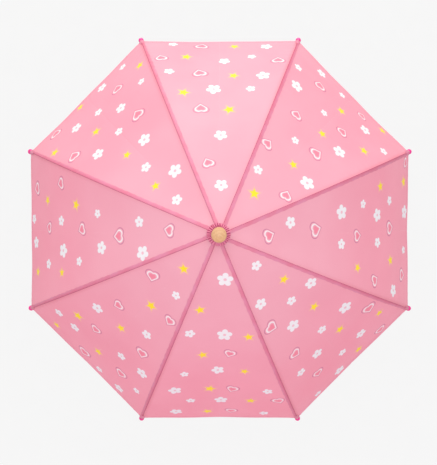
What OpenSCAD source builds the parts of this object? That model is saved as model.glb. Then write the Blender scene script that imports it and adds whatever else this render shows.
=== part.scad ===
// Children's stick umbrella, shown open, with a folding eight-rib frame.
// Millimetres, +Z up along the shaft. The origin is on the shaft axis at the middle of the hand grip.
// The rib crank (notch pivot to joint rivet) and the stretcher (joint rivet to runner pivot) have the
// same length, and both pivot circles have the same radius, so the runner stays on the shaft as it folds.

/* [Canopy] */
// Bend radius of each rib, which sets how deep the dome is
rib_bend_r = 562; // [540:1:600]
// Slope of the rib where it leaves the top notch, in degrees below level
slope_top = 16; // [14:0.5:18]
// Slope of the rib at its tip, in degrees below level
slope_tip = 62; // [58:0.5:64]
// Thickness of the canopy cloth solids
cloth_t = 0.8; // [0.6:0.1:1.2]
// Flat strips that make up the curve of each half panel
cloth_strips = 18; // [14:1:24]

/* [Frame] */
// Height of the rib pivots above the middle of the grip
notch_z = 505; // [495:1:520]
// Radius of the pivot wire circle, in the top notch and in the runner
pivot_r = 8.5; // [8.5:0.1:9]
// Distance from notch pivot to joint rivet, and from joint rivet to runner pivot
crank = 205; // [200:1:208]
// Width of the rib channel
rib_w = 3.0; // [2.6:0.1:3.0]
// Height of the rib channel
rib_h = 2.8; // [2.4:0.1:2.8]
// Sheet thickness of the rib and stretcher channels
sheet_t = 0.6; // [0.5:0.05:0.7]
// Radius of the ball on each rib tip
tip_r = 4.5; // [4:0.1:4.6]

/* [Shaft] */
// Outer radius of the shaft tube
shaft_r = 4.5; // [4.3:0.05:4.5]
// Wall of the shaft tube
shaft_wall = 0.8; // [0.6:0.1:0.9]
// Radius of the wooden ferrule
ferrule_r = 11; // [10:0.5:12]

/* [Handle] */
// Radius of the round wooden handle
handle_r = 8; // [7:0.5:9]
// Bend radius of the crook, to the middle of the wood
crook_r = 26; // [24:1:30]
// Height of the handle's upper end
handle_top = 40; // [36:1:42]

/* [Hidden] */
$fn = 48;
ribs = 8;
half = 180 / ribs;                       // angle from a rib to the middle of a panel
wire_r = 0.5;
run_gap = 0.05;
arc_x = pivot_r - rib_bend_r * sin(slope_top);
arc_z = notch_z - rib_bend_r * cos(slope_top);
function rib_x(a) = arc_x + rib_bend_r * sin(a);
function rib_z(a) = arc_z + rib_bend_r * cos(a);
crank_turn = 2 * asin(crank / (2 * rib_bend_r));
slope_joint = slope_top + crank_turn;
lean_open = slope_top + crank_turn / 2;  // slope of crank and stretcher when open
runner_z = notch_z - 2 * crank * sin(lean_open);
runner_len = 45;
catch_len = 20;
catch_hi_z = runner_z - runner_len - 0.4 - catch_len;
catch_lo_z = 91;
function azimuth(k) = half + (k - 1) * 2 * half;

// A bar along Y, used for cross pins and pivot holes
module cross_bar(r, l) { rotate([90, 0, 0]) cylinder(r = r, h = l, center = true); }

// A flat plate in the XZ plane, centred on Y
module plate(points, t) {
    translate([0, t / 2, 0]) rotate([90, 0, 0]) linear_extrude(height = t) polygon(points);
}

// A ring turned about Z from a list of radius and height points
module turned(points) { rotate_extrude($fn = 96) polygon(points); }

// Steel tube with a slot for each catch and holes for the catch pins
module shaft_tube() {
    color([0.80, 0.80, 0.82]) difference() {
        translate([0, 0, -8]) cylinder(r = shaft_r, h = notch_z + 34, $fn = 64);
        translate([0, 0, -9]) cylinder(r = shaft_r - shaft_wall, h = notch_z + 36, $fn = 64);
        translate([0, -0.9, catch_hi_z + 0.5]) cube([10, 1.8, catch_len + 3.5]);
        translate([0, -0.9, catch_lo_z - catch_len - 4]) cube([10, 1.8, catch_len + 3.5]);
        for (z = [catch_hi_z, catch_lo_z]) translate([0, 0, z]) cross_bar(0.62, 14);
    }
}

// Turned wooden knob pressed over the end of the shaft
module ferrule() {
    r = ferrule_r;
    z = notch_z + 6.9;
    color([0.87, 0.70, 0.47]) difference() {
        rotate_extrude($fn = 96) polygon(concat(
            [[0, z], [r - 2.6, z], [r - 2.0, z + 1.2], [r - 1.2, z + 3.2], [r, z + 5.6], [r, z + 31]],
            [for (i = [1 : 8]) [r - 3.2 + 3.2 * cos(i * 11.25), z + 31 + 3.2 * sin(i * 11.25)]],
            [[r - 5.2, z + 34.9], [3.6, z + 35.4], [0, z + 35.6]]));
        translate([0, 0, z - 1]) cylinder(r = shaft_r + run_gap, h = notch_z + 26.4 - z + 1, $fn = 64);
    }
}

// Hub that carries a ring of hinge tabs. The slots are open on the side where mouth is +1 or -1.
module slotted_crown(mouth) {
    difference() {
        translate([0, 0, mouth > 0 ? -4.5 : -3.0]) cylinder(r = pivot_r + 4, h = 7.5, $fn = 64);
        for (k = [1 : ribs]) rotate([0, 0, azimuth(k)])
            translate([pivot_r - 2.1, -1.0, mouth > 0 ? -2.2 : -8]) cube([12, 2.0, 10.2]);
        difference() {
            translate([0, 0, -0.6]) cylinder(r = pivot_r + 6, h = 1.2, $fn = 64);
            translate([0, 0, -0.7]) cylinder(r = pivot_r - 0.6, h = 1.4, $fn = 64);
        }
    }
}

// Fixed hub at the top of the shaft, with a slot for each rib
module top_notch() {
    color([0.88, 0.24, 0.55]) translate([0, 0, notch_z]) difference() {
        slotted_crown(-1);
        translate([0, 0, -10]) cylinder(r = shaft_r + run_gap, h = 20, $fn = 64);
    }
}

// Wire ring threaded through the eyes of all the ribs or stretchers
module pivot_wire(z) {
    color([0.72, 0.72, 0.74]) translate([0, 0, z])
        rotate_extrude($fn = 96) translate([pivot_r, 0]) circle(r = wire_r, $fn = 24);
}
module notch_wire() { pivot_wire(notch_z); }
module runner_wire() { pivot_wire(runner_z); }

// Gathered cloth collar between the canopy and the ferrule
module crown_ruffle() {
    z = notch_z;
    color([0.86, 0.42, 0.60]) turned([[shaft_r + 0.3, z + 4.7], [pivot_r + 4.2, z + 4.7], [18.4, z + 1.5],
        [18.8, z + 2.5], [pivot_r + 4.6, z + 6.6], [shaft_r + 0.3, z + 6.7]]);
}

// Bent wooden crook handle, bored for the shaft
module handle() {
    z = -35;
    color([0.87, 0.70, 0.47]) difference() {
        union() {
            translate([0, 0, z]) cylinder(r = handle_r, h = handle_top - z, $fn = 64);
            translate([crook_r, 0, z]) rotate([90, 0, 0]) rotate([0, 0, 180])
                rotate_extrude(angle = 180, $fn = 96) translate([crook_r, 0]) circle(r = handle_r, $fn = 64);
            translate([2 * crook_r, 0, z]) cylinder(r = handle_r, h = 16, $fn = 64);
            translate([2 * crook_r, 0, z + 16]) sphere(r = handle_r, $fn = 64);
        }
        translate([0, 0, -10]) cylinder(r = shaft_r + run_gap, h = handle_top + 20, $fn = 64);
    }
}

// Metal cup that finishes the upper end of the handle
module handle_band() {
    z = handle_top;
    color([0.80, 0.80, 0.82]) turned([[shaft_r + run_gap, z + 0.1], [handle_r + 0.3, z + 0.1], [handle_r + 0.6, z + 0.5],
        [handle_r + 0.6, z + 6.4], [handle_r + 0.1, z + 7.6], [handle_r - 1.4, z + 8.6], [shaft_r + run_gap, z + 9.4]]);
}

// Ring on the shaft that stops the runner when the canopy is open
module runner_stop() {
    z = runner_z + 3.4;
    color([0.72, 0.72, 0.74]) turned([[shaft_r + run_gap, z], [6.0, z], [6.3, z + 0.4], [6.3, z + 3.6], [5.9, z + 4.2], [shaft_r + run_gap, z + 4.2]]);
}

// Cross pins that the two catches swing on
module catch_pins() {
    color([0.72, 0.72, 0.74])
        for (z = [catch_hi_z, catch_lo_z]) translate([0, 0, z]) cross_bar(0.6, 2 * shaft_r - 0.1);
}

// Sliding sleeve with the lower crown, a keyway that clears the catches, and a thumb window
module runner() {
    color([0.88, 0.24, 0.55]) translate([0, 0, runner_z]) difference() {
        union() {
            slotted_crown(1);
            translate([0, 0, -runner_len]) cylinder(r = pivot_r + 1, h = runner_len - 4, $fn = 64);
            translate([0, 0, -8.5]) rotate_extrude($fn = 96)
                polygon([[pivot_r - 1, 0], [pivot_r + 1, 0], [pivot_r + 4, 4.1], [pivot_r - 1, 4.1]]);
            translate([0, 0, -runner_len]) rotate_extrude($fn = 96)
                polygon([[pivot_r - 1, 0], [pivot_r + 1.5, 0], [pivot_r + 2.0, 0.6], [pivot_r + 2.0, 2.4], [pivot_r + 1, 5.6], [pivot_r - 1, 5.6]]);
        }
        translate([0, 0, -runner_len - 1]) cylinder(r = shaft_r + 0.2, h = runner_len + 6, $fn = 64);
        translate([0, -1.3, -runner_len - 1]) cube([pivot_r - 0.3, 2.6, runner_len + 6]);
        translate([0, -1.3, -38]) cube([16, 2.6, 25]);
        for (z = [-36, -32, -28, -24, -20, -16]) translate([0, 0, z]) difference() {
            cylinder(r = pivot_r + 3, h = 1.2, $fn = 64);
            translate([0, 0, -0.1]) cylinder(r = pivot_r + 0.5, h = 1.4, $fn = 64);
        }
    }
}

// Flat sprung catch that swings in a slot of the shaft. Its ledge faces up.
module catch_plate() {
    difference() {
        plate([[-1.5, -1.6], [2.2, -1.6], [4.2, 2.0], [7.2, 18.4], [7.2, catch_len], [2.6, catch_len],
               [2.0, catch_len + 1.8], [0.6, catch_len + 1.8], [-1.5, 3.0]], 1.2);
        cross_bar(0.66, 4);
    }
}
module upper_catch() { color([0.66, 0.67, 0.70]) translate([0, 0, catch_hi_z]) catch_plate(); }
module lower_catch() { color([0.66, 0.67, 0.70]) translate([0, 0, catch_lo_z]) mirror([0, 0, 1]) catch_plate(); }

// Folded sheet channel bent to the rib's arc, with an eye at the top notch and rivet holes
module rib(k) {
    w = rib_w / 2;
    h = rib_h / 2;
    first = 6 / rib_bend_r * 180 / PI;
    color([0.70, 0.70, 0.73]) rotate([0, 0, azimuth(k)]) difference() {
        union() {
            translate([arc_x, 0, arc_z]) rotate([90, 0, 0]) rotate([0, 0, 90 - slope_tip])
                rotate_extrude(angle = slope_tip - slope_top - first, $fn = 360) translate([rib_bend_r, 0])
                    polygon([[-h, -w], [h, -w], [h, w], [-h, w], [-h, w - sheet_t], [h - sheet_t, w - sheet_t],
                             [h - sheet_t, sheet_t - w], [-h, sheet_t - w]]);
            translate([pivot_r, 0, notch_z]) rotate([0, slope_top, 0]) {
                cross_bar(1.6, 1.6);
                translate([0, -0.8, -1.3]) cube([9, 1.6, 2.6]);
            }
        }
        translate([pivot_r, 0, notch_z]) cross_bar(0.9, 6);
        translate([rib_x(slope_joint), 0, rib_z(slope_joint)]) cross_bar(0.85, 6);
    }
}

// Ball tip with a short socket for the end of the rib
module rib_tip(k) {
    color([0.93, 0.20, 0.58]) rotate([0, 0, azimuth(k)])
        translate([rib_x(slope_tip), 0, rib_z(slope_tip)]) rotate([0, slope_tip, 0]) difference() {
            union() {
                translate([1.5, 0, 0]) sphere(r = tip_r, $fn = 64);
                translate([-5, 0, 0]) rotate([0, 90, 0]) cylinder(r = 2.8, h = 5, $fn = 48);
            }
            translate([-8, -rib_w / 2 - 0.08, -rib_h / 2 - 0.1]) cube([8.05, rib_w + 0.16, rib_h + 0.2]);
        }
}

// Folded sheet strut from the runner to the rib, forked round the rib, and its joint rivet
module stretcher(k) {
    w = rib_w / 2 + 0.2;
    color([0.70, 0.70, 0.73]) rotate([0, 0, azimuth(k)])
        translate([rib_x(slope_joint), 0, rib_z(slope_joint)]) rotate([0, 180 - lean_open, 0]) {
            difference() {
                union() {
                    for (s = [-1, 1]) translate([0, s * (w + sheet_t / 2), 0]) {
                        cross_bar(1.6, sheet_t);
                        translate([0, -sheet_t / 2, -1.6]) cube([crank - 6, sheet_t, 2.8]);
                    }
                    translate([6, -w - sheet_t / 2, -1.6]) cube([crank - 12, 2 * w + sheet_t, sheet_t]);
                    translate([crank - 12, -w - sheet_t / 2, -1.4]) cube([6, 2 * w + sheet_t, 2.4]);
                    translate([crank - 8, -0.8, -1.3]) cube([8, 1.6, 2.6]);
                    translate([crank, 0, 0]) cross_bar(1.6, 1.6);
                }
                cross_bar(0.85, 12);
                translate([crank, 0, 0]) cross_bar(0.9, 6);
            }
            cross_bar(0.8, 2 * w + 2 * sheet_t + 0.3);
            for (s = [-1, 1]) translate([0, s * (w + sheet_t + 0.35), 0]) cross_bar(1.5, 0.6);
        }
}

// Half of one sewn panel, from the seam over a rib to the fold down the middle of the panel.
// side -1 lies on rib k, and side +1 on rib k+1.
module half_panel(k, side) {
    low = 2.55;
    a0 = slope_top + 0.75;
    a1 = slope_tip - 5.4 / rib_bend_r * 180 / PI;
    step = (a1 - a0) / cloth_strips;
    gap = 0.16;
    color([0.97, 0.68, 0.76]) rotate([0, 0, azimuth(k) + half]) intersection() {
        translate([0, 200, 0]) rotate([90, 0, 0]) linear_extrude(height = 400) polygon(concat(
            [for (i = [0 : cloth_strips]) let (a = a0 + i * step)
                [cos(half) * (rib_x(a) + low * sin(a)), rib_z(a) + low * cos(a)]],
            [for (i = [cloth_strips : -1 : 0]) let (a = a0 + i * step)
                [cos(half) * (rib_x(a) + (low + cloth_t) * sin(a)), rib_z(a) + (low + cloth_t) * cos(a)]]));
        translate([0, 0, notch_z - 400]) linear_extrude(height = 450) polygon(
            [[gap, side * gap], [420, side * gap], [420, side * (420 * tan(half) - gap / cos(half))], [gap / sin(half), side * gap * 1.01]]);
    }
}

// Closing strap, hanging from the hem at the middle of the third panel
module tie_strap() {
    a = slope_tip - 8 / rib_bend_r * 180 / PI;
    color([0.95, 0.55, 0.68]) rotate([0, 0, azimuth(3) + half])
        translate([cos(half) * rib_x(a) - 3, -8, rib_z(a) - 3 - 122]) cube([1.2, 16, 122]);
}

shaft_tube();
ferrule();
top_notch();
notch_wire();
crown_ruffle();
handle();
handle_band();
runner_stop();
catch_pins();
runner();
runner_wire();
upper_catch();
lower_catch();
for (k = [1 : ribs]) {
    rib(k);
    rib_tip(k);
    stretcher(k);
    half_panel(k, -1);
    half_panel(k, 1);
}
tie_strap();
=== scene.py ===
import math

import bpy
import numpy as np
from mathutils import Matrix, Vector


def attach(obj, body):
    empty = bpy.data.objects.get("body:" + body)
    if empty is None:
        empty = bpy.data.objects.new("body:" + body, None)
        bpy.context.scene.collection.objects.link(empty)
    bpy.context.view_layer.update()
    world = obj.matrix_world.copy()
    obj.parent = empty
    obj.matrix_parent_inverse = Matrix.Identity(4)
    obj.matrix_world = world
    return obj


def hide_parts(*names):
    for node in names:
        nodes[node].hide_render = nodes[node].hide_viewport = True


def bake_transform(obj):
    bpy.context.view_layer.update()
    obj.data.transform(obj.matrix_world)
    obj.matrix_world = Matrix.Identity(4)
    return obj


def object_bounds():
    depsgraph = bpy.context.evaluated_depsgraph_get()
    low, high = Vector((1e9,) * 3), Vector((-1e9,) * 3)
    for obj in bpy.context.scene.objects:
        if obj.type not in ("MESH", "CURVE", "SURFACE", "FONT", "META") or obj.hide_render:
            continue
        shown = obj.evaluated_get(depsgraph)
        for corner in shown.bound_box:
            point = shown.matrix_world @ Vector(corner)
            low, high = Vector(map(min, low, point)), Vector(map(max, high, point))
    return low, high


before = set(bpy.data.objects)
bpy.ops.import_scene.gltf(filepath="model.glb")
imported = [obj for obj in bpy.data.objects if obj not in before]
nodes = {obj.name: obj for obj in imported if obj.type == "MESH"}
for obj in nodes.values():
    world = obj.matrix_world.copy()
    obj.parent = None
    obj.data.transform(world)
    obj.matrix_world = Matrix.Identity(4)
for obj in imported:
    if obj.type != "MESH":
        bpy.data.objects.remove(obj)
cad_box = [[float(x) for x in corner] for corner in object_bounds()]

# ---------------------------------------------------------------- the canopy's measures, in millimetres
MM = 0.001
RIBS = 8
RHO, PIVOT, NOTCH_Z = 562.0, 8.5, 505.0
A0, A1 = math.radians(16.0), math.radians(62.0)
HALF = math.radians(22.5)
ARC_X, ARC_Z = PIVOT - RHO * math.sin(A0), NOTCH_Z - RHO * math.cos(A0)
A_TOP = math.radians(16.6)
S_LEN = RHO * (A1 - A_TOP) - 12.0
CLOTH_D = 2.95
CELL = 0.049                                                          # spacing of the print, in metres
JOINT_S = RHO * (A0 + 2 * math.asin(205.0 / (2 * RHO)) - A_TOP)      # where the stretchers meet the ribs
rng = np.random.default_rng(11)
PHASE = rng.uniform(0, 2 * math.pi, (RIBS + 1, 3, 8))
CREASE = [0, 0.22, 0.0, 0.30, 0.12, 0.34, 0.0, 0.28, 0.16]


def smooth(x, lo, hi):
    t = np.clip((np.asarray(x, float) - lo) / (hi - lo), 0, 1)
    return t * t * (3 - 2 * t)


def turn(points, degrees):
    """Points turned about the shaft."""
    c, s = math.cos(math.radians(degrees)), math.sin(math.radians(degrees))
    p = np.asarray(points, float)
    return np.stack([c * p[..., 0] - s * p[..., 1], s * p[..., 0] + c * p[..., 1], p[..., 2]], -1)


def half_width(s):
    """From the seam to the fold line of a panel, along the straight line between two ribs."""
    a = A_TOP + np.asarray(s, float) / RHO
    return math.tan(HALF) * math.cos(HALF) * (ARC_X + RHO * np.sin(a) + CLOTH_D * np.sin(a))


def relief(k, side, s, v):
    """Height of the cloth over the straight lines between two ribs: sag, seam puckers, slack and fold creases."""
    u, w = s / S_LEN, half_width(s)
    d, m, across = v * w, (1 - v) * w, side * (1 - v)
    r, q = PHASE[k, 0], PHASE[k, 1 if side < 0 else 2]
    sag = 9.0 * u ** 0.9 * (1 - 0.88 * u ** 2) * (1 - (1 - v) ** 2) ** 1.3
    near = d / 4.5 * np.exp(1 - d / 4.5) * (1 - v) ** 2
    clear = 1 - 0.85 * np.exp(-((s - JOINT_S) / 10) ** 2)
    pucker = 0.26 * clear * np.sin(2 * math.pi * s / 13.5 + q[0] + 0.9 * np.sin(s / 31 + q[1])) * near * (0.6 + 0.4 * np.sin(s / 47 + q[2]))
    slack = 0.42 * u * np.sin(2 * math.pi * s / 128 + r[0]) * np.cos(math.pi * across / 2)
    slack = slack + 0.34 * u * np.sin(2 * math.pi * s / 91 + r[1]) * np.sin(math.pi * across)
    hem = 0.50 * u ** 10 * (np.cos(7.0 * across) * math.sin(r[2]) + 0.2 * np.sin(7.0 * across) * math.cos(r[2])) * (1 - across ** 2)
    pull = 0.22 * np.sin(2 * math.pi * (d - 0.4 * (S_LEN - s)) / 12.5 + q[3]) * np.exp(-((S_LEN - s) + d) / 42) * np.clip(d / 4, 0, 1)
    crease = -CREASE[k] * np.exp(-m / 3.2) * smooth(u, 0.25, 0.6)
    return pucker + slack + hem + pull + crease - sag


def cloth(k, side, s, v, off=0.0):
    """Points of panel k's cloth: s along the arc from the crown, v from seam to fold line, off above its middle layer."""
    s, v, off = (np.asarray(x, float) for x in np.broadcast_arrays(s, v, off))
    a = A_TOP + s / RHO
    x = math.cos(HALF) * (ARC_X + (RHO + CLOTH_D) * np.sin(a))
    z = ARC_Z + (RHO + CLOTH_D) * np.cos(a)
    nx, nz = np.sin(a), math.cos(HALF) * np.cos(a)
    n = np.hypot(nx, nz)
    h = relief(k, side, s, v) + off
    x, z = x + h * nx / n, z + h * nz / n
    y = side * (1 - v) * math.tan(HALF) * x
    return turn(np.stack([x, y, z], -1), 45.0 * k)


def on_seam(k, s, q, off):
    """A point beside the seam over rib k: q millimetres round the crown from it, off above the cloth's middle layer."""
    s, q, off = (np.asarray(x, float) for x in np.broadcast_arrays(s, q, off))
    v = np.abs(q) / math.cos(HALF) / half_width(s)
    before, after = (k - 2) % RIBS + 1, k
    return np.where((q < 0)[..., None], cloth(before, 1, s, v, off), cloth(after, -1, s, v, off))


def weight(s, v):
    """How far a point follows its half panel and not its rib."""
    w = half_width(s)
    still = np.minimum(7.0, 0.55 * w) / w
    return np.clip((v - still) / (0.9998 - still), 0, 1)


# ---------------------------------------------------------------- meshes
class Pile:
    """Many small solids that become one mesh."""

    def __init__(self):
        self.v, self.f, self.n = [], [], 0

    def add(self, verts, faces):
        self.v.append(np.asarray(verts, float))
        self.f.extend([tuple(i + self.n for i in f) for f in faces])
        self.n += len(verts)

    def verts(self):
        return np.concatenate(self.v)


def make(name, verts_mm, faces, materials, face_slots=None, uvs=None, sharp=40):
    mesh = bpy.data.meshes.new(name)
    mesh.from_pydata((np.asarray(verts_mm, float) * MM).tolist(), [], faces)
    for m in materials:
        mesh.materials.append(m)
    if face_slots is not None:
        mesh.polygons.foreach_set("material_index", np.asarray(face_slots, np.int32))
    mesh.polygons.foreach_set("use_smooth", np.ones(len(mesh.polygons), bool))
    if uvs:
        loop = np.zeros(len(mesh.loops), np.int32)
        mesh.loops.foreach_get("vertex_index", loop)
        for layer, values in uvs.items():
            mesh.uv_layers.new(name=layer).data.foreach_set("uv", np.asarray(values, np.float32)[loop].ravel())
    mesh.update()
    mesh.set_sharp_from_angle(angle=math.radians(sharp))
    obj = bpy.data.objects.new(name, mesh)
    bpy.context.scene.collection.objects.link(obj)
    return obj


def shell(top, bottom, flip=False):
    """A closed thin solid between two grids of points. Its face slots are 0 on top and round the edge, and 1 below."""
    nu, nv = top.shape[:2]
    verts = np.concatenate([top.reshape(-1, 3), bottom.reshape(-1, 3)])
    t = lambda i, j: i * nv + j
    b = lambda i, j: nu * nv + i * nv + j
    faces, slots = [], []
    for i in range(nu - 1):
        for j in range(nv - 1):
            faces.append((t(i, j), t(i + 1, j), t(i + 1, j + 1), t(i, j + 1)))
            faces.append((b(i, j), b(i, j + 1), b(i + 1, j + 1), b(i + 1, j)))
            slots += [0, 1]
    last = len(faces)
    for i in range(nu - 1):
        faces.append((t(i, 0), b(i, 0), b(i + 1, 0), t(i + 1, 0)))
        faces.append((t(i + 1, nv - 1), b(i + 1, nv - 1), b(i, nv - 1), t(i, nv - 1)))
    for j in range(nv - 1):
        faces.append((t(0, j), t(0, j + 1), b(0, j + 1), b(0, j)))
        faces.append((t(nu - 1, j + 1), t(nu - 1, j), b(nu - 1, j), b(nu - 1, j + 1)))
    slots += [0] * (len(faces) - last)
    if flip:
        faces = [f[::-1] for f in faces]
    return verts, faces, slots


def thread(start, end, up, radius, bow, sides=7):
    """One stitch: a short thread that rises out of the cloth, bows and goes back in."""
    start, end = np.asarray(start, float), np.asarray(end, float)
    along = end - start
    length = np.linalg.norm(along)
    along = along / length
    up = np.asarray(up, float) - np.dot(up, along) * along
    up = up / np.linalg.norm(up)
    out = np.cross(along, up)
    rings = [(-0.02, 0.45), (0.10, 0.82), (0.30, 1.0), (0.70, 1.0), (0.90, 0.82), (1.02, 0.45)]
    verts, faces = [], []
    for share, wide in rings:
        c = start + along * length * share + up * bow * (1 - (2 * share - 1) ** 2)
        for i in range(sides):
            g = 2 * math.pi * i / sides
            verts.append(c + radius * wide * (math.cos(g) * out + math.sin(g) * up))
    for r in range(len(rings) - 1):
        for i in range(sides):
            j = (i + 1) % sides
            faces.append((r * sides + i, r * sides + j, (r + 1) * sides + j, (r + 1) * sides + i))
    faces.append(tuple(range(sides))[::-1])
    faces.append(tuple((len(rings) - 1) * sides + i for i in range(sides)))
    return verts, [f[::-1] for f in faces]


def loop_tube(points, radius, sides=8):
    """A closed loop of round thread through the points."""
    p = np.asarray(points, float)
    n = len(p)
    verts, faces = [], []
    tangent = np.roll(p, -1, 0) - np.roll(p, 1, 0)
    tangent /= np.linalg.norm(tangent, axis=1)[:, None]
    axis = np.cross(p[1] - p[0], p[n // 3] - p[0])
    axis /= np.linalg.norm(axis)
    for c, t in zip(p, tangent):
        side = np.cross(t, axis)
        side /= np.linalg.norm(side)
        for i in range(sides):
            g = 2 * math.pi * i / sides
            verts.append(c + radius * (math.cos(g) * side + math.sin(g) * axis))
    for r in range(n):
        for i in range(sides):
            j, q = (i + 1) % sides, (r + 1) % n
            faces.append((r * sides + i, r * sides + j, q * sides + j, q * sides + i))
    return verts, faces


def turned(profile, steps=48):
    """A solid turned about Z from radius and height points that start and end on the axis."""
    verts, faces, rings = [], [], []
    for r, z in profile:
        if r < 1e-6:
            rings.append([len(verts)])
            verts.append((0, 0, z))
        else:
            rings.append(list(range(len(verts), len(verts) + steps)))
            verts += [(r * math.cos(2 * math.pi * i / steps), r * math.sin(2 * math.pi * i / steps), z) for i in range(steps)]
    for a, b in zip(rings, rings[1:]):
        for i in range(steps):
            j = (i + 1) % steps
            if len(a) == 1:
                faces.append((a[0], b[j], b[i]))
            elif len(b) == 1:
                faces.append((a[i], a[j], b[0]))
            else:
                faces.append((a[i], a[j], b[j], b[i]))
    return np.array(verts, float), faces


# ---------------------------------------------------------------- materials
class Mat:
    """A node material and short names for its nodes."""

    def __init__(self, name, **sockets):
        self.m = bpy.data.materials.new(name)
        self.m.use_nodes = True
        self.t = self.m.node_tree
        self.t.nodes.clear()
        self.b = self.new("ShaderNodeBsdfPrincipled")
        self.t.links.new(self.b.outputs[0], self.new("ShaderNodeOutputMaterial").inputs[0])
        self.set(**sockets)

    def new(self, kind, **props):
        n = self.t.nodes.new(kind)
        for p, v in props.items():
            setattr(n, p, v)
        return n

    def put(self, socket, value):
        if isinstance(value, bpy.types.NodeSocket):
            self.t.links.new(value, socket)
        elif hasattr(value, "__len__") and len(value) == 3 and socket.type == "RGBA":
            socket.default_value = (*value, 1.0)
        else:
            socket.default_value = value

    def set(self, **sockets):
        for name, value in sockets.items():
            self.put(self.b.inputs[name.replace("_", " ")], value)
        return self

    def f(self, op, *args):
        n = self.new("ShaderNodeMath", operation=op)
        for i, a in enumerate(args):
            self.put(n.inputs[i], a)
        return n.outputs[0]

    def add(self, a, b): return self.f("ADD", a, b)
    def sub(self, a, b): return self.f("SUBTRACT", a, b)
    def mul(self, a, b): return self.f("MULTIPLY", a, b)
    def div(self, a, b): return self.f("DIVIDE", a, b)

    def xyz(self, vec):
        n = self.new("ShaderNodeSeparateXYZ")
        self.put(n.inputs[0], vec)
        return n.outputs[0], n.outputs[1], n.outputs[2]

    def vec(self, x, y, z):
        n = self.new("ShaderNodeCombineXYZ")
        for i, a in enumerate((x, y, z)):
            self.put(n.inputs[i], a)
        return n.outputs[0]

    def stretch(self, vec, scale):
        n = self.new("ShaderNodeVectorMath", operation="MULTIPLY")
        self.put(n.inputs[0], vec)
        n.inputs[1].default_value = scale
        return n.outputs[0]

    def mix(self, share, a, b):
        n = self.new("ShaderNodeMix", data_type="RGBA")
        for i, x in ((0, share), (6, a), (7, b)):
            self.put(n.inputs[i], x)
        return n.outputs[2]

    def step(self, x, lo, hi, to0=0.0, to1=1.0):
        n = self.new("ShaderNodeMapRange", interpolation_type="SMOOTHSTEP")
        for i, a in enumerate((x, lo, hi, to0, to1)):
            self.put(n.inputs[i], a)
        return n.outputs[0]

    def noise(self, vec, scale, detail=3.0, rough=0.5, distortion=0.0):
        n = self.new("ShaderNodeTexNoise")
        self.put(n.inputs["Vector"], vec)
        for name, a in (("Scale", scale), ("Detail", detail), ("Roughness", rough), ("Distortion", distortion)):
            n.inputs[name].default_value = a
        return n.outputs[0]

    def uv(self, layer):
        return self.new("ShaderNodeUVMap", uv_map=layer).outputs[0]

    def place(self):
        return self.new("ShaderNodeTexCoord").outputs["Object"]

    def bump(self, height, strength, distance, normal=None):
        n = self.new("ShaderNodeBump")
        n.inputs["Strength"].default_value = strength
        n.inputs["Distance"].default_value = distance
        self.put(n.inputs["Height"], height)
        if normal is not None:
            self.put(n.inputs["Normal"], normal)
        return n.outputs[0]


def weave(M, uv, pitch):
    """Plain weave: threads over and under each other at this pitch, in metres."""
    x, y, _ = M.xyz(uv)
    k = 2 * math.pi / pitch
    a, b = M.f("SINE", M.mul(x, k)), M.f("SINE", M.mul(y, k))
    return M.mul(a, b)


def panel_width(M, hem):
    """Metres from the seam to a panel's middle, at this distance from its hem."""
    angle = M.sub(A_TOP + S_LEN / RHO, M.mul(hem, 1 / (RHO * MM)))
    return M.mul(M.add(ARC_X * MM, M.mul(M.f("SINE", angle), (RHO + CLOTH_D) * MM)), math.sin(HALF))


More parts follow.
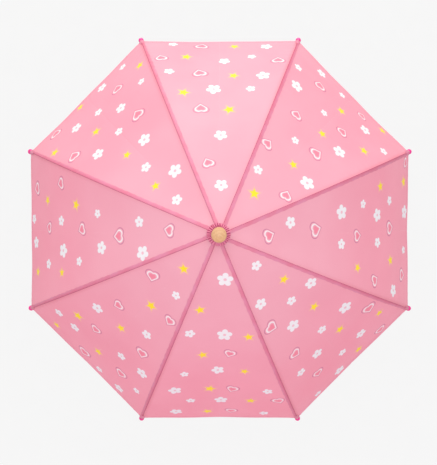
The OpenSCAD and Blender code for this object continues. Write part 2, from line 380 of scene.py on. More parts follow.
def scattered(M, uv, across, hem, base, share):
    """A generic scatter of blossoms, stars and nested hearts over a base colour, as strong as share, clear of seams and crown."""
    cell = CELL
    x, y, _ = M.xyz(uv)
    gx, gy = M.div(x, cell), M.div(y, cell)
    row = M.f("FLOOR", gy)
    gx = M.add(gx, M.mul(M.f("FLOORED_MODULO", row, 2.0), 0.5))
    col = M.f("FLOOR", gx)
    chance = M.new("ShaderNodeTexWhiteNoise", noise_dimensions="3D")
    M.put(chance.inputs["Vector"], M.vec(col, row, 7.3))
    r, g, b = M.xyz(chance.outputs["Color"])
    size = M.add(0.86, M.mul(chance.outputs["Value"], 0.28))
    px = M.mul(M.sub(M.sub(M.sub(gx, col), 0.5), M.mul(M.sub(r, 0.5), 0.38)), cell * 1000)
    py = M.mul(M.sub(M.sub(M.sub(gy, row), 0.5), M.mul(M.sub(g, 0.5), 0.38)), cell * 1000)
    hem_c = M.sub(hem, M.mul(py, MM))
    room = M.sub(panel_width(M, hem_c), M.f("ABSOLUTE", M.sub(across, M.mul(px, MM))))
    kept = M.mul(M.f("GREATER_THAN", room, 0.0165), M.f("LESS_THAN", hem_c, (S_LEN - 40.0) * MM))
    share = M.mul(share, kept)
    px, py = M.div(px, size), M.div(py, size)
    lean = M.mul(M.sub(b, 0.5), 0.95)
    c, s = M.f("COSINE", lean), M.f("SINE", lean)
    px, py = M.add(M.mul(px, c), M.mul(py, s)), M.sub(M.mul(py, c), M.mul(px, s))
    rad = M.f("SQRT", M.add(M.mul(px, px), M.mul(py, py)))
    ang = M.f("ARCTAN2", px, py)
    kind = M.f("FLOORED_MODULO", M.add(col, M.mul(row, 2.0)), 4.0)
    is_kind = [M.f("COMPARE", kind, float(i), 0.2) for i in range(4)]
    inside = lambda gauge, at, soft=0.03: M.sub(1.0, M.step(gauge, at - soft, at + soft))
    band = lambda gauge, lo, hi, soft=0.025: M.mul(M.step(gauge, lo - soft, lo + soft), inside(gauge, hi, soft))
    layers = []
    # blossoms with five petals, large and small
    lobe = M.add(0.56, M.mul(M.f("POWER", M.f("ABSOLUTE", M.f("COSINE", M.mul(ang, 2.5))), 0.7), 0.44))
    for i, radius in ((0, 10.8), (3, 7.8)):
        gauge = M.div(rad, M.mul(lobe, radius))
        layers.append((M.mul(is_kind[i], inside(gauge, 1.0)), (0.85, 0.83, 0.87), 0.97))
        layers.append((M.mul(is_kind[i], inside(M.div(rad, radius), 0.20)), (0.86, 0.42, 0.52), 0.8))
    # five-pointed stars with a pale outline
    fold = 2 * math.pi / 5
    phi = M.f("ABSOLUTE", M.sub(M.f("FLOORED_MODULO", M.add(ang, fold / 2), fold), fold / 2))
    gauge = M.div(M.mul(rad, M.add(M.f("COSINE", phi), M.mul(M.f("SINE", phi), 2.026))), 7.4)
    layers.append((M.mul(is_kind[1], M.sub(1.0, M.step(gauge, 1.0, 1.9))), (0.93, 0.60, 0.24), 0.55))
    layers.append((M.mul(is_kind[1], inside(gauge, 1.0, 0.05)), (0.96, 0.72, 0.035), 1.0))
    # nested hearts drawn in narrow bands
    hx, hy = M.div(M.f("ABSOLUTE", px), 20.5), M.div(py, 20.5)
    diamond = M.div(M.add(hx, M.f("ABSOLUTE", hy)), 0.5)
    rr = M.add(M.mul(hx, hx), M.mul(hy, hy))
    lobes = M.div(rr, M.f("MAXIMUM", M.mul(M.add(hx, hy), 0.5), 0.0005))
    heart = M.f("MINIMUM", diamond, lobes)
    layers.append((M.mul(is_kind[2], band(heart, 0.89, 1.0)), (0.52, 0.15, 0.28), 0.72))
    layers.append((M.mul(is_kind[2], band(heart, 0.58, 0.76)), (0.90, 0.84, 0.87), 0.85))
    layers.append((M.mul(is_kind[2], inside(heart, 0.42)), (0.88, 0.20, 0.30), 0.70))
    colour = base
    for mask, tint, strength in layers:
        colour = M.mix(M.mul(M.mul(mask, strength), share), colour, (*tint, 1.0))
    return colour


def canopy_material(name, light, deep, faint, rough):
    M = Mat(name, Sheen_Weight=0.03, Sheen_Roughness=0.35, Sheen_Tint=(1.0, 0.86, 0.90), Specular_IOR_Level=0.22)
    uv, edge = M.uv("print"), M.uv("edge")
    tone = M.step(M.noise(uv, 9.0, 2.0), 0.3, 0.7)
    base = M.mix(tone, (*deep, 1.0), (*light, 1.0))
    base = M.mix(M.mul(M.step(M.noise(uv, 900.0, 1.0), 0.35, 0.65), 0.06), base, (*[c * 0.82 for c in deep], 1.0))
    across, hem, _ = M.xyz(edge)
    # painted sheen: the cloth turns paler and less red toward the crown, where the light's sheen falls on the flatter
    # cloth
    crown = M.mix(tone, (0.900 * deep[0], 1.15 * deep[1], 1.10 * deep[2], 1.0), (0.900 * light[0], 1.15 * light[1], 1.10 * light[2], 1.0))
    base = M.mix(M.step(hem, 0.02, 0.38), base, crown)
    threads = weave(M, uv, 0.0008)
    base = M.mix(M.step(threads, -0.7, 0.7, 0.10, 0.0), base, (*[c * 0.72 for c in deep], 1.0))
    seam =M.sub(panel_width(M, hem), M.f("ABSOLUTE", across))
    colour = scattered(M, uv, across, hem, base, M.step(hem, 0.0020, 0.0032, 0.0, faint))
    doubled = M.f("MAXIMUM", M.sub(1.0, M.step(hem, 0.0060, 0.0072)), M.mul(M.sub(1.0, M.step(seam, 0.0, 0.016)), 0.6))
    colour = M.mix(M.mul(doubled, 0.14), colour, (*[c * 0.80 for c in deep], 1.0))
    # painted shade in the dip beside each seam, stronger toward the hem
    shade = M.mul(M.step(seam, 0.0, 0.0075, 0.42, 0.0), M.step(hem, 0.05, 0.36, 1.0, 0.25))
    colour = M.mix(shade, colour, (0.76 * deep[0], 0.48 * deep[1], 0.53 * deep[2], 1.0))
    M.set(Base_Color=colour, Roughness=M.step(M.noise(uv, 40.0, 2.0), 0.2, 0.8, rough - 0.04, rough + 0.05))
    folds = M.new("ShaderNodeTexVoronoi", feature="DISTANCE_TO_EDGE", voronoi_dimensions="2D")
    M.put(folds.inputs["Vector"], uv)
    folds.inputs["Scale"].default_value = 6.5
    n = M.bump(M.step(folds.outputs["Distance"], 0.0, 0.03), 0.10, 0.0006)
    n = M.bump(M.noise(uv, 55.0, 3.0), 0.10, 0.0015, n)
    n = M.bump(threads, 0.20, 0.0002, n)
    M.set(Normal=n)
    return M.m


def cloth_material(name, light, deep, scale, rough=0.55, layer="print", pitch=0.0007, valley_shade=None, ridge_shade=None, sheen=0.2):
    """Plain dyed cloth with a weave and uneven tone, with painted shade down in its pleats or along its seam when a
    shade colour is given.
    """
    M = Mat(name, Sheen_Weight=sheen, Sheen_Roughness=0.4, Sheen_Tint=(1.0, 0.85, 0.9), Specular_IOR_Level=0.4)
    uv = M.uv(layer)
    tone = M.step(M.noise(uv, scale, 3.0), 0.32, 0.68)
    colour = M.mix(tone, (*deep, 1.0), (*light, 1.0))
    if valley_shade:
        # painted shade in the pleat valleys and round the inner edge under the ferrule; the fold map also carries a
        # painted shadow of the ferrule
        lift, out, _ = M.xyz(M.uv("fold"))
        shade = M.f("MAXIMUM", M.step(lift, 0.12, 0.62, 0.85, 0.0), M.step(out, 0.42, 0.62, 0.55, 0.0))
        colour = M.mix(shade, colour, (*valley_shade, 1.0))
    if ridge_shade:
        # painted shade along the seam's ridge, spreading across the band and stronger toward the hem
        q, run, _ = M.xyz(M.uv("run"))
        shade = M.mul(M.step(q, -0.0050, -0.0002, 0.30, 1.0), M.step(run, 0.05, 0.85, 0.36, 0.92))
        colour = M.mix(shade, colour, (*ridge_shade, 1.0))
    M.set(Base_Color=colour, Roughness=M.step(M.noise(uv, scale * 3), 0.2, 0.8, rough - 0.05, rough + 0.06))
    n = M.bump(M.noise(uv, scale * 2, 3.0), 0.18, 0.0006)
    M.set(Normal=M.bump(weave(M, uv, pitch), 0.15, 0.0002, n))
    return M.m


def thread_material(name, light, deep):
    M = Mat(name, Sheen_Weight=0.15, Specular_IOR_Level=0.4)
    p = M.place()
    tone = M.step(M.noise(p, 320.0, 2.0), 0.3, 0.7)
    M.set(Base_Color=M.mix(tone, (*deep, 1.0), (*light, 1.0)), Roughness=M.step(tone, 0.0, 1.0, 0.5, 0.66))
    M.set(Normal=M.bump(M.noise(p, 2600.0, 1.0), 0.25, 0.0001))
    return M.m


def plastic_material(name, light, deep, rough, coat):
    M = Mat(name, Coat_Weight=coat, Coat_Roughness=0.08, Specular_IOR_Level=0.5)
    p = M.place()
    tone = M.step(M.noise(p, 130.0, 4.0, 0.6, 0.6), 0.3, 0.7)
    M.set(Base_Color=M.mix(tone, (*deep, 1.0), (*light, 1.0)), Roughness=M.step(M.noise(p, 420.0, 3.0), 0.25, 0.75, rough - 0.05, rough + 0.08))
    M.set(Normal=M.bump(M.noise(p, 900.0, 2.0), 0.04, 0.0002))
    return M.m


def steel_material(name, light, deep, rough, stretch):
    """Drawn steel: fine lines along the pull, and roughness that follows them."""
    M = Mat(name, Metallic=1.0)
    p = M.place()
    lines = M.noise(M.stretch(p, stretch), 1.0, 3.0, 0.6)
    cloud = M.noise(p, 45.0, 3.0)
    tone = M.step(M.add(M.mul(lines, 0.7), M.mul(cloud, 0.3)), 0.35, 0.65)
    M.set(Base_Color=M.mix(tone, (*deep, 1.0), (*light, 1.0)), Roughness=M.step(lines, 0.3, 0.7, rough - 0.06, rough + 0.08))
    M.set(Normal=M.bump(lines, 0.08, 0.0002))
    return M.m


def wood_material(name, crook, rate, light, deep):
    """Pale turned beech: grain along the piece, and pores, under a satin lacquer."""
    M = Mat(name, Coat_Weight=0.25, Coat_Roughness=0.22, Specular_IOR_Level=0.45)
    x, y, z = M.xyz(M.place())
    if crook:
        dx, dz = M.sub(x, 0.026), M.add(z, 0.035)
        low = M.f("MINIMUM", dz, 0.0)
        out = M.f("SQRT", M.add(M.mul(dx, dx), M.mul(low, low)))
        angle = M.f("ARCTAN2", M.mul(low, -1.0), dx)
        along = M.sub(M.mul(M.f("SIGN", M.mul(dx, -1.0)), M.f("MAXIMUM", dz, 0.0)), M.mul(M.sub(math.pi, angle), 0.026))
        p = M.vec(out, y, along)
    else:
        p = M.vec(x, y, z)
    fibre = M.noise(M.stretch(p, (900.0, 900.0, 55.0)), 1.0, 3.0, 0.6)
    wander = M.noise(M.stretch(p, (110.0, 110.0, 14.0)), 1.0, 2.0, 0.5, 1.2)
    px, py, pz = M.xyz(p)
    rx, ry = M.sub(px, 0.0015), M.add(py, 0.0035)
    ring = M.f("SQRT", M.add(M.mul(rx, rx), M.mul(ry, ry)))
    rings = M.f("SINE", M.add(M.mul(ring, rate), M.mul(wander, 13.0)))
    rings = M.step(rings, -0.7, 0.95)
    colour = M.mix(M.mul(rings, 0.50), (*light, 1.0), (*deep, 1.0))
    colour = M.mix(M.mul(M.step(fibre, 0.5, 0.75), 0.40), colour, (*deep, 1.0))
    pores = M.step(M.noise(M.stretch(p, (2200.0, 2200.0, 130.0)), 1.0, 1.0), 0.66, 0.74)
    colour = M.mix(M.mul(pores, 0.45), colour, (0.42, 0.22, 0.09, 1.0))
    M.set(Base_Color=colour, Roughness=M.step(fibre, 0.3, 0.7, 0.36, 0.50))
    M.set(Normal=M.bump(M.add(M.mul(fibre, 0.5), M.mul(rings, 0.2)), 0.10, 0.0003))
    return M.m


PINK_LIGHT, PINK_DEEP = (0.942, 0.351, 0.453), (0.927, 0.324, 0.426)
canopy_top = canopy_material("canopy_top", PINK_LIGHT, PINK_DEEP, 1.0, 0.46)
canopy_under = canopy_material("canopy_under", (0.90, 0.36, 0.46), (0.87, 0.32, 0.43), 0.36, 0.55)
seam_cloth = cloth_material("seam_cloth", (0.745, 0.290, 0.435), (0.735, 0.228, 0.338), 42.0, ridge_shade=(0.660, 0.138, 0.235), sheen=0.05)
ruffle_cloth = cloth_material("ruffle_cloth", (0.84, 0.27, 0.42), (0.78, 0.205, 0.34), 260.0, valley_shade=(0.42, 0.055, 0.14))
crown_cloth = cloth_material("crown_cloth", (0.94, 0.325, 0.425), (0.88, 0.275, 0.375), 150.0)
strap_cloth = cloth_material("strap_cloth", (0.83, 0.27, 0.40), (0.76, 0.21, 0.34), 120.0)
seam_thread = thread_material("seam_thread", (0.40, 0.058, 0.150), (0.30, 0.040, 0.108))
hem_thread = thread_material("hem_thread", (0.82, 0.30, 0.43), (0.72, 0.22, 0.35))
tie_thread = thread_material("tie_thread", (0.80, 0.34, 0.46), (0.68, 0.24, 0.36))
tip_thread = thread_material("tip_thread", (0.80, 0.060, 0.290), (0.66, 0.035, 0.215))
tip_plastic = plastic_material("tip_plastic", (0.92, 0.034, 0.325), (0.84, 0.026, 0.275), 0.22, 0.5)
hub_plastic = plastic_material("hub_plastic", (0.80, 0.075, 0.300), (0.70, 0.055, 0.245), 0.32, 0.3)
shaft_steel = steel_material("shaft_steel", (0.82, 0.82, 0.84), (0.68, 0.68, 0.71), 0.17, (1500.0, 1500.0, 22.0))
frame_steel = steel_material("frame_steel", (0.72, 0.72, 0.75), (0.55, 0.55, 0.59), 0.34, (700.0, 700.0, 240.0))
catch_steel = steel_material("catch_steel", (0.70, 0.71, 0.74), (0.50, 0.51, 0.55), 0.30, (1300.0, 1300.0, 120.0))
snap_metal = steel_material("snap_metal", (0.80, 0.79, 0.78), (0.64, 0.63, 0.62), 0.24, (900.0, 900.0, 900.0))
ferrule_wood = wood_material("ferrule_wood", False, 1350.0, (0.70, 0.405, 0.205), (0.57, 0.295, 0.130))
handle_wood = wood_material("handle_wood", True, 1700.0, (0.76, 0.465, 0.220), (0.59, 0.325, 0.135))


def dress(node, material):
    obj = nodes[node]
    if not obj.material_slots:
        obj.data.materials.append(material)
    for s in obj.material_slots:
        s.material = material


for node, material in {
    "shaft_tube": shaft_steel, "handle_band": shaft_steel, "runner_stop": frame_steel, "catch_pins": frame_steel,
    "notch_wire": frame_steel, "runner_wire": frame_steel, "upper_catch": catch_steel, "lower_catch": catch_steel,
    "top_notch": hub_plastic, "runner": hub_plastic, "ferrule": ferrule_wood, "handle": handle_wood,
}.items():
    dress(node, material)
for k in range(1, RIBS + 1):
    dress(f"rib_{k}", frame_steel)
    dress(f"stretcher_{k}", frame_steel)
    dress(f"rib_tip_{k}", tip_plastic)

# ---------------------------------------------------------------- canopy: sixteen half panels of curved cloth
rows = np.concatenate([np.linspace(0, S_LEN - 9, 146), S_LEN - np.array([7.8, 7.2, 6.6, 5.4, 3.6, 1.8, 0.6, 0.0])])
cols = 0.5 - 0.5 * np.cos(np.linspace(0, math.pi, 26))
cols[-1] = 1 - 1.5e-4


def hem_cut(s, v):
    return s - 0.6 * np.sin(math.pi * v / 2) * (s / S_LEN) ** 6


halves, hems = {}, {}
for k in range(1, RIBS + 1):
    for side, word in ((-1, "left"), (1, "right")):
        s, v = np.meshgrid(rows, cols, indexing="ij")
        s = hem_cut(s, v)
        folded = smooth(s, S_LEN - 7.6, S_LEN - 6.6)
        top = cloth(k, side, s, v, 0.25 + 0.10 * folded)
        bottom = cloth(k, side, s, v, np.where(v > 0.999, 0.03, -0.25 - 0.35 * folded))      # thin along the fold line, so the halves close on it
        verts, faces, slots = shell(top, bottom, flip=side > 0)
        across = side * (1 - v) * half_width(s)
        prints = np.stack([across * MM + 11 * CELL * k, -s * MM - 8 * CELL * k + 0.068 - 0.5 * CELL], -1).reshape(-1, 2)
        edges = np.stack([across * MM, (S_LEN - s) * MM], -1).reshape(-1, 2)
        obj = make(f"canopy_{k}_{word}", verts, faces, [canopy_top, canopy_under], slots,
                   {"print": np.concatenate([prints, prints]), "edge": np.concatenate([edges, edges])}, sharp=50)
        a, b = cloth(k, side, S_LEN / 2, 0.0) * MM, cloth(k, side, S_LEN / 2, 1.0) * MM
        tuple(b)
        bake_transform(obj)
        w = weight(s, v).ravel()
        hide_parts(f"panel_{k}_{word}")
        halves[k, side] = obj

        # the hem's line of stitches
        pile, w = Pile(), []
        width = float(half_width(S_LEN))
        for t in np.arange(2.4, width - 1.6, 3.2):
            ends = [(t - 1.1) / width, (t + 1.1) / width]
            at = [hem_cut(np.array(S_LEN - 5.6), np.array(e)) for e in ends]
            p = [cloth(k, side, at[i], ends[i], 0.34) for i in (0, 1)]
            up = cloth(k, side, at[0], ends[0], 1.34) - p[0]
            pile.add(*thread(p[0], p[1], up, 0.20, 0.14))
            each = np.repeat(np.interp([-0.02, 0.10, 0.30, 0.70, 0.90, 1.02], [0, 1], [float(weight(at[i], ends[i])) for i in (0, 1)]), 7)
            w.append(each)
        stitches = make(f"hem_stitches_{k}_{word}", pile.verts(), pile.f, [hem_thread])
        tuple(b)
        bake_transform(stitches)
        hems[k, side] = stitches

# ---------------------------------------------------------------- seams: turned-over band and topstitching on each rib
bands, seam_lines, corners = {}, {}, {}
band_q = np.array([-5.3, -5.1, -4.4, -3.5, -2.3, -1.3, -0.5, 0.0, 0.45, 0.75])
band_h = np.array([0.30, 0.52, 0.60, 0.66, 0.70, 0.74, 0.76, 0.78, 0.66, 0.34])
for k in range(1, RIBS + 1):
    s = np.linspace(1.0, S_LEN - 0.6, 190)
    r = PHASE[k, 0]
    grow = 1 - 0.22 * smooth(s, 0.70 * S_LEN, S_LEN)
    wave = 1 + 0.05 * np.sin(2 * math.pi * s / 13.0 + r[3]) + 0.03 * np.sin(2 * math.pi * s / 29.0 + r[4])
    ss, qq = np.meshgrid(s, band_q, indexing="ij")
    qq = np.where(qq < 0, qq * (grow * wave)[:, None], qq)
    hh = band_h[None, :] * np.ones_like(ss) + 0.06 * np.sin(2 * math.pi * ss / 9.0 + r[5] + 0.3 * qq) * (qq < -0.6) * (qq > -4.9)
    limit = -0.92 * half_width(ss) * math.cos(HALF)
    qq = np.maximum(qq, limit)
    top, bottom = on_seam(k, ss, qq, hh), on_seam(k, ss, qq, np.full_like(hh, 0.20))
    verts, faces, slots = shell(top, bottom)
    uv = np.stack([qq * MM, -ss * MM + 0.5 * k], -1).reshape(-1, 2)
    # run gives each point's place across and along the seam, for the band's painted ridge shade
    run = np.stack([qq * MM, ss / S_LEN], -1).reshape(-1, 2)
    band = make(f"seam_band_{k}", verts, faces, [seam_cloth], None, {"print": np.concatenate([uv, uv]), "run": np.concatenate([run, run])}, sharp=60)
    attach(band, f"rib_{k}")
    bands[k] = band

    pile = Pile()
    for t in np.arange(4.0, S_LEN - 16.0, 3.2):
        p, e = on_seam(k, t, 0.15, 0.80), on_seam(k, t + 1.8, 0.15, 0.80)
        up = on_seam(k, t, 0.15, 1.8) - p
        pile.add(*thread(p, e, up, 0.33, 0.16))
    line = make(f"seam_stitches_{k}", pile.verts(), pile.f, [seam_thread])
    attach(line, f"rib_{k}")
    seam_lines[k] = line

    # corner of the cloth: a doubled patch, wider toward the tip, that runs on past the hem to the tip's socket
    x = np.concatenate([[-25.0, -24.75], np.linspace(-24.3, -7.4, 27), [-6.85, -6.6]])
    j = np.concatenate([[-1.0, -0.97], np.linspace(-0.9, 0.9, 17), [0.97, 1.0]])
    xx, jj = np.meshgrid(x, j, indexing="ij")
    qq = jj * np.interp(xx, [-25.0, -20.0, -15.0, -11.0, -6.6], [2.5, 3.2, 4.1, 4.7, 4.75]) * (1 + 0.03 * np.sin(xx * 0.9 + r[6]))
    past = smooth(xx, -12.2, -7.5)
    low = 0.92 - 0.46 * smooth(qq, 1.0, 2.3) - 0.46 * smooth(-qq, 4.5, 4.8) * smooth(xx, -16.0, -13.0)
    low = low * (1 - past) + past * (0.62 - 2.1 * jj ** 2) + 0.05 * np.sin(1.1 * xx + 2.0 * jj + r[7]) * (1 - np.abs(jj))
    rim = (np.abs(jj) > 0.98) | (xx < -24.9) | (xx > -6.7)
    top = on_seam(k, S_LEN + 12.0 + xx, qq, low + np.where(rim, 0.22, 0.40))
    bottom = on_seam(k, S_LEN + 12.0 + xx, qq, low)
    verts, faces, slots = shell(top, bottom)
    uv = np.stack([qq * MM, -xx * MM + 0.5 * k + 0.3], -1).reshape(-1, 2)
    # the patch takes a fixed mid share of the seam cloth's painted ridge shade
    run = np.stack([np.full(xx.size, -0.0033), np.full(xx.size, 0.95)], -1)
    corner = make(f"corner_patch_{k}", verts, faces, [seam_cloth], None, {"print": np.concatenate([uv, uv]), "run": np.concatenate([run, run])}, sharp=60)
    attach(corner, f"rib_{k}")
    corners[k] = corner

    # threads that sew the corner to the tip's socket
    pile = Pile()
    for q in (-1.8, -1.08, -0.36, 0.36, 1.08, 1.8):
        a = A1 - 3.6 / RHO
        e = turn(np.array([ARC_X + (RHO + 2.85 - 0.18 * q * q) * math.sin(a), 0.75 * q, ARC_Z + (RHO + 2.85 - 0.18 * q * q) * math.cos(a)]), 22.5 + 45.0 * (k - 1))
        lift = 0.62 - 2.1 * (q / 4.75) ** 2 + 0.36
        p = on_seam(k, S_LEN + 12.0 - 7.7, q, lift)
        pile.add(*thread(p, e, on_seam(k, S_LEN + 12.0 - 7.7, q, lift + 1.0) - p, 0.34, 0.28))
    corner_threads = make(f"tip_threads_{k}", pile.verts(), pile.f, [tip_thread])
    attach(corner_threads, f"rib_{k}")

    # stitches round the patch, and thread ties that hold the cloth to the rib
    pile = Pile()
    for c in (-0.78, 0.78):
        for t in np.arange(-23.6, -13.5, 2.5):
            w0, w1 = np.interp([t, t + 1.7], [-25.0, -20.0, -15.0, -11.0], [2.5, 3.2, 4.1, 4.7])
            h0, h1 = (0.92 - 0.46 * float(smooth(c * w, 1.0, 2.3)) + 0.44 for w in (w0, w1))
            p, e = on_seam(k, S_LEN + 12.0 + t, c * w0, h0), on_seam(k, S_LEN + 12.0 + t + 1.7, c * w1, h1)
            pile.add(*thread(p, e, on_seam(k, S_LEN + 12.0 + t, c * w0, h0 + 1.0) - p, 0.20, 0.13))
    patch_stitches = make(f"patch_stitches_{k}", pile.verts(), pile.f, [hem_thread])
    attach(patch_stitches, f"rib_{k}")
    pile = Pile()
    for t in (96.0, 286.0, 392.0):
        for shift in (-0.75, 0.0, 0.75):
            a = A_TOP + (t + shift) / RHO
            corner = 0.8
            hi, lo, wide = CLOTH_D - 0.05, -1.75, 1.85
            loop = []
            for cx, cz, g0 in ((wide - corner, hi - corner, 0), (-wide + corner, hi - corner, 90), (-wide + corner, lo + corner, 180), (wide - corner, lo + corner, 270)):
                for g in np.radians(np.linspace(g0, g0 + 90, 5)):
                    b, n = cx + corner * math.cos(g), cz + corner * math.sin(g)
                    loop.append((ARC_X + (RHO + n) * math.sin(a), b, ARC_Z + (RHO + n) * math.cos(a)))
            verts, faces = loop_tube(loop, 0.32)
            pile.add(turn(verts, 22.5 + 45.0 * (k - 1)), faces)
    ties = make(f"rib_ties_{k}", pile.verts(), pile.f, [tie_thread])
    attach(ties, f"rib_{k}")

# ---------------------------------------------------------------- crown cloth: joins the canopy's top to the notch under the collar
for k in range(1, RIBS + 1):
    u, j = np.linspace(0, 1, 15), np.linspace(-1.02, 1.02, 25)
    edge_s = 0.95
    reach = float(half_width(edge_s)) * math.cos(HALF)
    rim = on_seam(k, edge_s, j * reach, 0.62)
    az = math.radians(22.5 + 45.0 * (k - 1)) + j * HALF
    bulge = 13.9 + 0.12 * np.sin(9.0 * j + PHASE[k, 0, 6])
    lip = np.stack([12.95 * np.cos(az), 12.95 * np.sin(az), np.full_like(az, 507.3)], -1)
    knee = np.stack([bulge * np.cos(az), bulge * np.sin(az), np.full_like(az, 508.75)], -1)
    uu = u[:, None, None]
    mid = (1 - uu) ** 2 * lip + 2 * uu * (1 - uu) * knee + uu ** 2 * rim
    n = np.cross(np.gradient(mid, axis=1), np.gradient(mid, axis=0))
    n /= np.linalg.norm(n, axis=2)[..., None]
    n *= np.sign(n[..., 2:].mean())
    verts, faces, slots = shell(mid + 0.15 * n, mid - 0.15 * n, flip=True)
    uv = np.stack(np.broadcast_arrays(j[None, :] * 0.006, -u[:, None] * 0.006), -1).reshape(-1, 2)
    crown = make(f"crown_cloth_{k}", verts, faces, [crown_cloth], None, {"print": np.concatenate([uv, uv])}, sharp=60)
    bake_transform(crown)
    w = np.repeat(np.clip(1.08 * u, 0, 1) ** 1.15, len(j))

# ---------------------------------------------------------------- pleated collar under the ferrule
PLEATS = 29
n_r, n_a = 20, PLEATS * 12
g = np.linspace(0, 2 * math.pi, n_a, endpoint=False)
rr = np.linspace(5.2, 17.0, n_r)
rad, ang = np.meshgrid(rr, g, indexing="ij")
beat = PLEATS * ang + 1.3 * np.sin(2 * ang + 0.4) + 0.9 * np.sin(5 * ang + 1.9) + 0.5 * np.sin(11 * ang + 0.7)
fold = np.sin(beat + 0.25 * np.sin(beat))
fold = np.sign(fold) * np.abs(fold) ** 0.75
deep = (0.82 + 0.18 * np.sin(3 * ang + 1.0)) * (1 - 0.80 * np.exp(-((ang - math.radians(262)) / 0.60) ** 2))
amp =np.interp(rr, [5.2, 8.5, 11.0, 14.0, 17.0], [0.20, 0.45, 0.95, 1.10, 0.95])[:, None] * deep
mid = 510.55 + 0.55 * smooth(rad, 8.5, 10.8) - 3.40 * smooth(rad, 10.4, 18.2)
uneven = 0.75 * np.cos(ang - math.radians(195)) + 0.35 * np.sin(2 * ang + 2.0)
reach = rad + smooth(rad, 10.5, 17) * (0.35 * np.sin(np.round(beat / (2 * math.pi)) * 2.4 + 0.8) + 0.2 * fold + uneven)
height = mid + amp * fold
top = np.stack([reach * np.cos(ang), reach * np.sin(ang), height + 0.18], -1)
low = np.stack([reach * np.cos(ang), reach * np.sin(ang), height - 0.18], -1)
verts = np.concatenate([top.reshape(-1, 3), low.reshape(-1, 3)])
faces, N = [], n_r * n_a
for i in range(n_r - 1):
    for j in range(n_a):
        q = (j + 1) % n_a
        faces.append((i * n_a + j, (i + 1) * n_a + j, (i + 1) * n_a + q, i * n_a + q))
        faces.append((N + i * n_a + j, N + i * n_a + q, N + (i + 1) * n_a + q, N + (i + 1) * n_a + j))
for j in range(n_a):
    q = (j + 1) % n_a
    faces.append((j, q, N + q, N + j))
    faces.append(((n_r - 1) * n_a + q, (n_r - 1) * n_a + j, N + (n_r - 1) * n_a + j, N + (n_r - 1) * n_a + q))
uv = np.stack([rad * np.cos(ang) * MM, rad * np.sin(ang) * MM], -1).reshape(-1, 2)
# painted shade for the collar: the fold map darkens the pleat valleys and adds a painted shadow of the ferrule on its
# +Y side near the inner edge
ferrule_shadow = 0.75 * np.exp(-((ang - math.radians(90)) / 0.38) ** 2) * (1 - smooth(rad, 13.2, 15.4))
lift = np.stack([0.5 + 0.5 * fold * deep - ferrule_shadow, (rad - 5.2) / 11.8], -1).reshape(-1, 2)
ruffle = make("pleated_collar", verts, faces, [ruffle_cloth], None, {"print": np.concatenate([uv, uv]), "fold": np.concatenate([lift, lift])}, sharp=60)
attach(ruffle, "shaft")
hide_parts("crown_ruffle")

# ---------------------------------------------------------------- tie strap with a press stud
strap_a = A1 - 8.0 / RHO
strap_x = math.cos(HALF) * (ARC_X + RHO * math.sin(strap_a)) - 2.4
strap_z = ARC_Z + RHO * math.cos(strap_a) - 3.0
LONG, WIDE = 122.0, 16.0
t = np.concatenate([np.linspace(0, 0.94, 44), 1 - 0.06 * (1 - np.sin(np.linspace(0.15, 1, 9) * math.pi / 2))])
c = np.array([-1.0, -0.96, -0.86, -0.78, -0.55, -0.25, 0.0, 0.25, 0.55, 0.78, 0.86, 0.96, 1.0])
tt, cc = np.meshgrid(t, c, indexing="ij")
ends = np.sqrt(np.clip(1 - np.clip((tt - 0.94) / 0.06, 0, 1) ** 2 * 0.86, 0, 1))
bow = 0.55 * np.sin(1.6 * math.pi * tt) + 0.28 * cc * np.sin(2.4 * math.pi * tt + 0.6)
thick = 0.42 + 0.16 * (np.abs(cc) > 0.82) * (np.abs(cc) < 0.99) - 0.16 * (np.abs(cc) > 0.99)
yy, zz = cc * WIDE / 2 * ends, strap_z - LONG * tt
out = turn(np.stack([strap_x + bow + thick, yy, zz], -1), 135.0)
inn = turn(np.stack([strap_x + bow - thick, yy, zz], -1), 135.0)
verts, faces, slots = shell(out, inn)
uv = np.stack([cc * 0.008, -tt * 0.122], -1).reshape(-1, 2)
strap = make("tie_strap_cloth", verts, faces, [strap_cloth], None, {"print": np.concatenate([uv, uv])}, sharp=55)
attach(strap, "tie_strap")
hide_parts("tie_strap")


def strap_point(share, c, off):
    bow = 0.55 * math.sin(1.6 * math.pi * share) + 0.28 * c * math.sin(2.4 * math.pi * share + 0.6)
    return turn(np.array([strap_x + bow + off, c * WIDE / 2, strap_z - LONG * share]), 135.0)


pile = Pile()
for face in (1, -1):
    for c0 in (-0.80, 0.80):
        for share in np.arange(0.01, 0.93, 0.0262):
            p, e = strap_point(share, c0, face * 0.46), strap_point(share + 0.0185, c0, face * 0.46)
            pile.add(*thread(p, e, strap_point(share, c0, face * 1.46) - p, 0.19, 0.14))
strap_stitches = make("strap_stitches", pile.verts(), pile.f, [hem_thread])
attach(strap_stitches, "tie_strap")
stud, stud_faces = turned([(0, 1.75), (0.9, 1.72), (1.25, 1.5), (1.3, 1.0), (2.2, 0.95), (2.5, 1.25), (3.1, 1.35), (3.8, 1.15), (4.3, 0.7), (4.45, 0.2), (4.3, -0.1), (0, -0.1)])
cap, cap_faces = turned([(0, 1.35), (1.6, 1.28), (2.9, 1.05), (3.9, 0.6), (4.4, 0.15), (4.3, -0.1), (0, -0.1)])
pile = Pile()
for share, shape, shape_faces, face in ((0.925, stud, stud_faces, -1), (0.925, cap, cap_faces, 1)):
    base = strap_point(share, 0.0, face * 0.36)
    n = turn(np.array([float(face), 0, 0]), 135.0)
    e1 = turn(np.array([0, 1.0, 0]), 135.0)
    e2 = np.cross(n, e1)
    pile.add(base + shape[:, :1] * e1 + shape[:, 1:2] * e2 + shape[:, 2:] * n, shape_faces)
snap = make("strap_press_stud", pile.verts(), pile.f, [snap_metal], sharp=35)
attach(snap, "tie_strap")

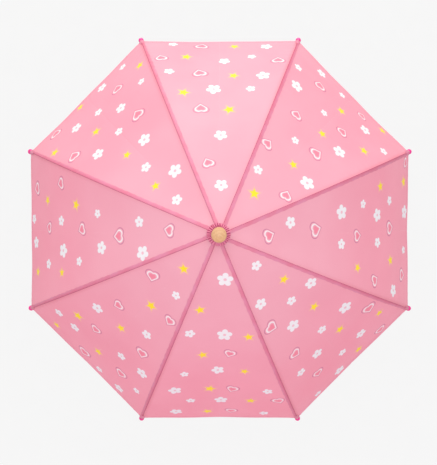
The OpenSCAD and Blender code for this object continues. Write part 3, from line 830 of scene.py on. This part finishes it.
# the tab of the strap, sewn into the hem of the third panel's left half
line = turn(np.array([cloth(3, -1, S_LEN - 6.0 + 5.2 * u, 1.0, -0.125) for u in np.linspace(0, 1, 9)]), -135.0)[:, [0, 2]]
down = np.array([strap_x, strap_z - 1.2])
a, b = line[8], line[8] + 1.2 * (line[8] - line[5])
for u in np.linspace(0.1, 1, 13):
    line = np.concatenate([line, [(1 - u) ** 3 * a + 3 * (1 - u) ** 2 * u * b + 3 * (1 - u) * u * u * (down + np.array([0.0, 3.0])) + u ** 3 * down]])
way = np.gradient(line, axis=0)
way = np.stack([way[:, 1], -way[:, 0]], -1) / np.linalg.norm(way, axis=1)[:, None]
tab_c = np.linspace(-1, 1, 13)
flare = smooth(np.arange(len(line)), 10.5, 19.0)
right_edge = -0.6 + 8.2 * flare
thick = np.interp(np.abs(tab_c), [0, 0.85, 0.95, 1.0], [0.40, 0.40, 0.46, 0.30])
faces_of = []
for sign in (-1, 1):
    grid = []
    for p, n, edge, f in zip(line, way, right_edge, flare):
        h = sign * thick * (0.45 + 0.55 * f)
        grid.append(np.stack([p[0] + h * n[0], -7.6 + (edge + 7.6) * (tab_c + 1) / 2, p[1] + h * n[1]], -1))
    faces_of.append(turn(np.array(grid), 135.0))
verts, faces, slots = shell(faces_of[0], faces_of[1])
uv = np.stack(np.broadcast_arrays(tab_c[None, :] * 0.0076, -np.arange(len(line))[:, None] * 0.001), -1).reshape(-1, 2)
tab = make("strap_tab", verts, faces, [strap_cloth], None, {"print": np.concatenate([uv, uv])}, sharp=60)
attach(tab, "panel_3_left")

# ---------------------------------------------------------------- camera, floor and light
scene = bpy.context.scene
cam = bpy.data.objects.new("camera", bpy.data.cameras.new("camera"))
scene.collection.objects.link(cam)
cam.data.lens = 1050.6 * 36.0 / 465.0
cam.data.sensor_width = 36.0
cam.data.clip_start, cam.data.clip_end = 0.05, 60.0
lean = Matrix.Rotation(math.radians(-1.405), 4, "X") @ Matrix.Rotation(math.radians(0.223), 4, "Y") @ Matrix.Rotation(math.radians(0.022), 4, "Z")
cam.matrix_world = Matrix.Translation((0.0051, 0.0400, 2.0273)) @ lean
scene.camera = cam

floor_mesh = bpy.data.meshes.new("floor")
floor_mesh.from_pydata([(-20, -20, 0), (20, -20, 0), (20, 20, 0), (-20, 20, 0)], [], [(0, 1, 2, 3)])
floor = bpy.data.objects.new("floor", floor_mesh)
floor.location.z = cad_box[0][2] - 0.002
scene.collection.objects.link(floor)
F = Mat("floor_paper", Specular_IOR_Level=0.1, Roughness=0.9, Emission_Color=(1.0, 1.0, 1.0), Emission_Strength=0.888)
grain = F.noise(F.place(), 30.0, 2.0)
F.set(Base_Color=F.mix(F.step(grain, 0.3, 0.7), (0.028, 0.028, 0.028, 1.0), (0.032, 0.032, 0.032, 1.0)))
floor_mesh.materials.append(F.m)

world = bpy.data.worlds.new("studio")
world.use_nodes = True
world.node_tree.nodes["Background"].inputs["Color"].default_value = (0.985, 0.965, 1.003, 1.0)
world.node_tree.nodes["Background"].inputs["Strength"].default_value = 0.62
backdrop = world.node_tree.nodes.new("ShaderNodeBackground")          # the pale wall seen past the floor's edge
backdrop.inputs["Color"].default_value = (0.930, 0.930, 0.930, 1.0)
either = world.node_tree.nodes.new("ShaderNodeMixShader")
path = world.node_tree.nodes.new("ShaderNodeLightPath")
for a, b in ((path.outputs["Is Camera Ray"], either.inputs[0]), (world.node_tree.nodes["Background"].outputs[0], either.inputs[1]),
             (backdrop.outputs[0], either.inputs[2]), (either.outputs[0], world.node_tree.nodes["World Output"].inputs["Surface"])):
    world.node_tree.links.new(a, b)
scene.world = world


def softbox(name, place, aim, size, watts, colour=(1, 1, 1)):
    light = bpy.data.lights.new(name, "AREA")
    light.shape, light.size, light.size_y = "RECTANGLE", size[0], size[1]
    light.energy, light.color = watts, colour
    obj = bpy.data.objects.new(name, light)
    obj.location = place
    obj.visible_camera = False
    obj.rotation_euler = (Vector(aim) - Vector(place)).to_track_quat("-Z", "Y").to_euler()
    scene.collection.objects.link(obj)
    return obj


softbox("key", (-0.03, 0.78, 3.3), (0.0, 0.0, 0.40), (3.0, 3.0), 67.0, (1.0, 0.985, 0.93))
softbox("low_card", (0.0, 1.35, 0.42), (0.0, 0.3, 0.38), (0.8, 0.5), 7.2, (1.0, 0.975, 0.80))
softbox("rose_card", (0.0, -2.3, 0.55), (0.0, -0.3, 0.35), (1.8, 0.8), 7.0, (1.0, 0.26, 0.50))
scene.view_settings.view_transform = "Standard"
